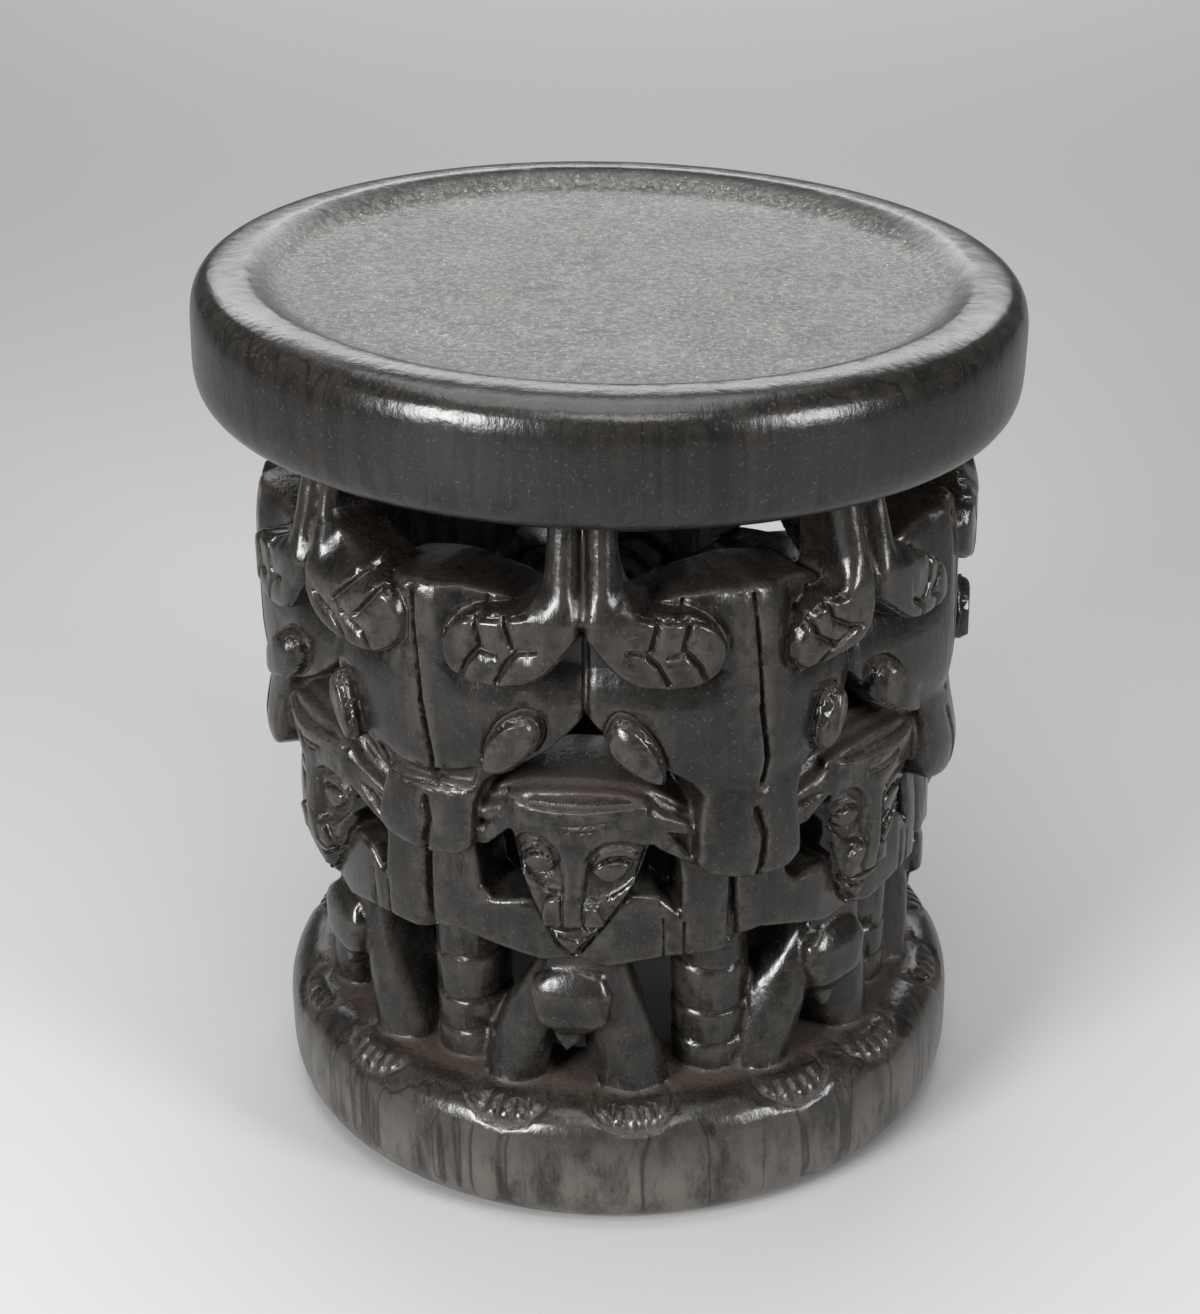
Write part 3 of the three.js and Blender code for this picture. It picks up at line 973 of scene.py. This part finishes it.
# where dust lies and the wood is worn, in millimetres; on the ledges the dust thins out towards the inside
# and under the seat, as painted shade
ageAndPaintedLight = {
    "hollow": {"deep": 1.5, "high": 350, "inner": 100, "share": 0.8},       # deep, it is full of dust
    "footCut": {"deep": 2.2, "high": 70, "inner": 138},
    "edge": 0.45,           # how far an edge stands proud where it is worn bare
    "ledge": {"low": 200, "high": 345, "inner": 122, "outer": 168, "share": 0.8},
    # painted shade: the upper ledges, under the seat, take less dust so that they stay dark
    "upperLedge": {"low": 290, "share": 0.35},
    "ringTop": {"low": 50, "high": 70, "outer": 153},
    "dish": {"low": 400, "outer": 165},
    "seatSide": {"low": 350, "inner": 172, "rubbed": 0.035},
    "baseSide": {"high": 62, "inner": 150, "rubbed": 0.1, "footRubbed": 0.9, "rubbedTo": 60},
}


def layAgeAndPaintedLight(piece, shift):
    edges, hollows = bulges(piece, net["rounds"])
    places, facing = points(piece), normals(piece)
    radius = np.hypot(places[:, 0], places[:, 1])
    level = places[:, 2]
    up = np.clip((facing[:, 2] - 0.35) / 0.4, 0, 1)     # 1 where it faces the sky
    zone, upper = ageAndPaintedLight["ledge"], ageAndPaintedLight["upperLedge"]
    ledge = up * (level > zone["low"]) * (level < zone["high"]) * (radius < zone["outer"])
    # painted shade: the dust fades out towards the inside of a ledge and is thinned on the upper ledges,
    # so that they stay dark
    ledge = ledge * np.clip((radius - zone["inner"]) / 8, 0, 1)
    ledge = ledge * np.where(level > upper["low"], upper["share"], zone["share"])
    zone = ageAndPaintedLight["ringTop"]
    ringTop = up * (level > zone["low"]) * (level < zone["high"])
    ringTop = ringTop * np.clip((zone["outer"] - radius) / 8, 0, 1)
    zone = ageAndPaintedLight["hollow"]
    dust = np.clip(-hollows / zone["deep"], 0, 1) * (level < zone["high"]) * (radius > zone["inner"])
    dust = dust * zone["share"]
    zone = ageAndPaintedLight["footCut"]
    footCuts = np.linalg.norm(shift, axis=1) * (level < zone["high"]) * (radius > zone["inner"])
    footCuts = footCuts / zone["deep"]
    setValue(piece, "dust", np.clip(np.maximum.reduce([dust, ledge, ringTop, footCuts]), 0, 1))
    setValue(piece, "wear", np.clip(edges / ageAndPaintedLight["edge"], 0, 1))
    # the seat's dish, which takes a grey that is partly dust and partly painted sheen
    zone = ageAndPaintedLight["dish"]
    setValue(piece, "dish", np.clip((zone["outer"] - radius) / 10, 0, 1) * (level > zone["low"]) * up)
    seatZone, baseZone = ageAndPaintedLight["seatSide"], ageAndPaintedLight["baseSide"]
    side = (level > seatZone["low"]) * (radius > seatZone["inner"])
    side = side + (level < baseZone["high"]) * (radius > baseZone["inner"])
    setValue(piece, "side", side)
    low = np.clip((baseZone["rubbedTo"] - level) / 32, 0, 1) * baseZone["footRubbed"] + baseZone["rubbed"]
    setValue(piece, "rubbed", side * np.where(level > 200, seatZone["rubbed"], low))


def markInner(piece):
    # the inner side of the wall and the undersides of the base and the seat; gives their share
    places, facing = points(piece), normals(piece)
    radius = np.hypot(places[:, 0], places[:, 1])
    level = places[:, 2]
    outward = (facing[:, 0] * places[:, 0] + facing[:, 1] * places[:, 1]) / radius
    within = (outward < -0.2) & (level > 60) & (level < 352)
    under = (facing[:, 2] < -0.9) & ((level < 3) | (level > 345))
    group = piece.vertex_groups.new(name="inner")
    group.add(np.flatnonzero(within | under).tolist(), 1.0, "REPLACE")
    return (within | under).mean()


def keepOnePart(piece):
    # all that hangs together with the highest corner, without the specks that a remesh leaves
    selectOnly([piece])
    bpy.ops.object.mode_set(mode="EDIT")
    bpy.ops.mesh.select_mode(type="VERT")
    bpy.ops.mesh.select_all(action="DESELECT")
    bpy.ops.object.mode_set(mode="OBJECT")
    piece.data.vertices[int(points(piece)[:, 2].argmax())].select = True
    bpy.ops.object.mode_set(mode="EDIT")
    bpy.ops.mesh.select_linked()
    bpy.ops.mesh.select_all(action="INVERT")
    bpy.ops.mesh.delete(type="VERT")
    bpy.ops.object.mode_set(mode="OBJECT")


layAgeAndPaintedLight(stool, shift)
print("wear and dust laid")

# the hidden inner side is thinned first, so that the carved front keeps a fine net
innerShare = markInner(stool)
stool.data.transform(Matrix.Scale(mm, 4))
applied(stool, "DECIMATE", ratio=1 - net["innerCut"] * innerShare, vertex_group="inner")
stool.vertex_groups.clear()
triangles = sum(len(face.vertices) - 2 for face in stool.data.polygons)
applied(stool, "DECIMATE", ratio=min(1, net["triangles"] / triangles))
keepOnePart(stool)
places = points(stool)
places[:, 2] = np.maximum(places[:, 2], 0)      # it stands on the floor
setPoints(stool, places)
print("thinned to", len(stool.data.polygons), "faces")

# near-black stained wood, greyer where rubbed, with dust in its hollows and a grey dish that is partly
# dust and partly painted sheen
paint = {
    "dark": (0.0036, 0.0033, 0.0030, 1),
    "brown": (0.0085, 0.0066, 0.0053, 1),
    "worn": (0.042, 0.037, 0.031, 1),
    "rubbed": (0.085, 0.076, 0.066, 1),
    "dust": (0.031, 0.021, 0.0155, 1),
    # grey of the dish: dusty wood with a painted sheen of the light from above
    "dish": (0.053, 0.0518, 0.048, 1),
    "speck": (0.34, 0.33, 0.31, 1),
}

# how much of its colour each layer lays on, then the shine and the bump
finish = {
    "grain": 0.14,
    "dish": 0.7,
    "wear": 0.75,
    "rubbed": 0.9,
    "cracks": 0.75,
    "mottle": 0.23,
    "specks": 0.07,
    "dishSpecks": 0.8,
    "specular": 0.38,
    "roughness": {"least": 0.185, "patches": 0.15, "dish": 0.20, "wear": 0.08, "dust": 0.9},
    "bump": {"strength": 0.55, "distance": 0.0016, "tool": 0.52, "grain": 0.08, "skin": 0.2,
             "pores": 0.1, "dust": 0.9},
}


def makeWood():
    material = bpy.data.materials.new("ebonised_wood")
    material.use_nodes = True
    nodes, links = material.node_tree.nodes, material.node_tree.links
    shader = nodes["Principled BSDF"]
    place = nodes.new("ShaderNodeTexCoord").outputs["Object"]

    def number(value, target):
        if hasattr(value, "node"):
            links.new(value, target)
        else:
            target.default_value = value

    def maths(kind, a, b):
        node = nodes.new("ShaderNodeMath")
        node.operation = kind
        number(a, node.inputs[0])
        number(b, node.inputs[1])
        return node.outputs[0]

    def noise(scale, detail, roughness, stretch=(1, 1, 1), distortion=0.0):
        mapping = nodes.new("ShaderNodeMapping")
        mapping.inputs["Scale"].default_value = stretch
        links.new(place, mapping.inputs["Vector"])
        node = nodes.new("ShaderNodeTexNoise")
        node.inputs["Scale"].default_value = scale
        node.inputs["Detail"].default_value = detail
        node.inputs["Roughness"].default_value = roughness
        node.inputs["Distortion"].default_value = distortion
        links.new(mapping.outputs[0], node.inputs["Vector"])
        return node.outputs[0]

    def between(value, low, high):
        node = nodes.new("ShaderNodeMapRange")
        node.interpolation_type = "SMOOTHSTEP"
        number(value, node.inputs["Value"])
        node.inputs["From Min"].default_value = low
        node.inputs["From Max"].default_value = high
        return node.outputs[0]

    def mixed(share, first, second):
        node = nodes.new("ShaderNodeMix")
        node.data_type = "RGBA"
        number(share, node.inputs[0])
        number(first, node.inputs[6])
        number(second, node.inputs[7])
        return node.outputs[2]

    def attribute(name):
        node = nodes.new("ShaderNodeAttribute")
        node.attribute_name = name
        return node.outputs["Fac"]

    # a scale is in rounds per metre, and a stretched noise has its rounds in the stretch
    patches = noise(14, 5, 0.6)
    grain = noise(1, 4, 0.6, (170, 170, 10), 0.4)
    fine = noise(620, 3, 0.7)
    tool = noise(75, 2, 0.5, (1, 1, 0.6))
    grit = noise(420, 4, 0.75)
    colour = mixed(between(patches, 0.45, 0.75), paint["dark"], paint["brown"])
    colour = mixed(maths("MULTIPLY", between(grain, 0.45, 0.8), finish["grain"]), colour, paint["worn"])
    # painted sheen with dust: the dish is laid over in a lighter grey
    dish = attribute("dish")
    dishDustAndSheenShare = maths("MULTIPLY", dish, maths("ADD", between(noise(34, 6, 0.65), 0.3, 0.72), 0.25))
    colour = mixed(maths("MULTIPLY", dishDustAndSheenShare, finish["dish"]), colour, paint["dish"])
    wear = maths("MULTIPLY", attribute("wear"), between(noise(120, 4, 0.7), 0.3, 0.6))
    colour = mixed(maths("MULTIPLY", wear, finish["wear"]), colour, paint["worn"])
    rubbed = maths("MULTIPLY", attribute("rubbed"), between(noise(55, 6, 0.7, (1, 1, 0.35)), 0.3, 0.6))
    colour = mixed(maths("MULTIPLY", rubbed, finish["rubbed"]), colour, paint["rubbed"])
    lines = noise(1, 2, 0.5, (46, 46, 2.5), 0.6)        # upright cracks, where it crosses its middle
    cracks = maths("MULTIPLY", between(lines, 0.535, 0.5), attribute("side"))
    cracks = maths("MULTIPLY", cracks, between(lines, 0.465, 0.5))
    colour = mixed(maths("MULTIPLY", cracks, finish["cracks"]), colour, paint["dark"])
    dust = attribute("dust")
    gritShare = between(maths("ADD", grit, maths("MULTIPLY", dust, 0.25)), 0.4, 0.7)
    dustShare = maths("MULTIPLY", dust, gritShare)
    colour = mixed(dustShare, colour, paint["dust"])
    mottle = maths("MULTIPLY", between(noise(300, 4, 0.75), 0.42, 0.62), dish)
    colour = mixed(maths("MULTIPLY", mottle, finish["mottle"]), colour, paint["speck"])
    speckShare = maths("ADD", maths("MULTIPLY", dish, finish["dishSpecks"]), finish["specks"])
    colour = mixed(maths("MULTIPLY", between(fine, 0.60, 0.68), speckShare), colour, paint["speck"])
    links.new(colour, shader.inputs["Base Color"])

    shader.inputs["Specular IOR Level"].default_value = finish["specular"]
    share = finish["roughness"]
    rough = maths("ADD", share["least"], maths("MULTIPLY", patches, share["patches"]))
    rough = maths("ADD", rough, maths("MULTIPLY", dish, share["dish"]))
    rough = maths("SUBTRACT", rough, maths("MULTIPLY", wear, share["wear"]))
    rough = maths("MAXIMUM", rough, maths("MULTIPLY", dustShare, share["dust"]))
    links.new(rough, shader.inputs["Roughness"])

    share = finish["bump"]
    height = maths("ADD", maths("MULTIPLY", tool, share["tool"]), maths("MULTIPLY", grain, share["grain"]))
    height = maths("ADD", height, maths("MULTIPLY", noise(260, 3, 0.6), share["skin"]))
    height = maths("ADD", height, maths("MULTIPLY", noise(1, 3, 0.6, (800, 800, 60)), share["pores"]))
    height = maths("ADD", height, maths("MULTIPLY", maths("MULTIPLY", dust, grit), share["dust"]))
    bump = nodes.new("ShaderNodeBump")
    bump.inputs["Strength"].default_value = share["strength"]
    bump.inputs["Distance"].default_value = share["distance"]
    links.new(height, bump.inputs["Height"])
    links.new(bump.outputs[0], shader.inputs["Normal"])
    return material


stool.data.materials.clear()
stool.data.materials.append(makeWood())
for face in stool.data.polygons:
    face.use_smooth = True

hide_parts("stool")
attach(stool, "root")


# a pale floor and soft studio light
studio = {
    "floor": (0.36, 0.36, 0.36, 1),
    "around": (0.9, 0.92, 0.95, 1),
    "aroundStrength": 0.12,
    # place, aim, size and power of each light
    "lights": {
        "overhead": ((-0.1, 0.0, 1.7), (0, 0, 0.3), (1.5, 1.2), 24),
        "behind": ((0.1, 3.4, 2.0), (0, 2.3, 0), (3.8, 1.4), 80),
        "left": ((-1.25, -1.45, 0.9), (0, 0, 0.22), (0.75, 0.75), 64),
        "right": ((1.4, -1.1, 0.8), (0, 0, 0.22), (0.45, 0.65), 28),
        "front": ((0.1, -1.2, 1.7), (0, 0, 0.3), (0.9, 0.3), 10),
    },
}


def areaLight(name, place, aim, size, power):
    data = bpy.data.lights.new(name, "AREA")
    data.shape = "RECTANGLE"
    data.size, data.size_y = size
    data.energy = power
    lamp = bpy.data.objects.new(name, data)
    bpy.context.scene.collection.objects.link(lamp)
    lamp.location = place
    lamp.rotation_mode = "QUATERNION"
    lamp.rotation_quaternion = (Vector(aim) - Vector(place)).to_track_quat("-Z", "Y")


def makeStudio():
    bpy.context.scene.view_settings.view_transform = "Standard"
    selectNothing()
    bpy.ops.mesh.primitive_plane_add(size=12, location=(0, 0, 0))
    floor = bpy.context.object
    floor.name = "studio_floor"
    pale = bpy.data.materials.new("pale_floor")
    pale.use_nodes = True
    shader = pale.node_tree.nodes["Principled BSDF"]
    shader.inputs["Base Color"].default_value = studio["floor"]
    shader.inputs["Roughness"].default_value = 0.8
    floor.data.materials.append(pale)
    world = bpy.data.worlds.new("studio")
    bpy.context.scene.world = world
    world.use_nodes = True
    sky = world.node_tree.nodes["Background"]
    sky.inputs["Color"].default_value = studio["around"]
    sky.inputs["Strength"].default_value = studio["aroundStrength"]
    for name, (place, aim, size, power) in studio["lights"].items():
        areaLight(name, place, aim, size, power)


makeStudio()
print("studio lit")
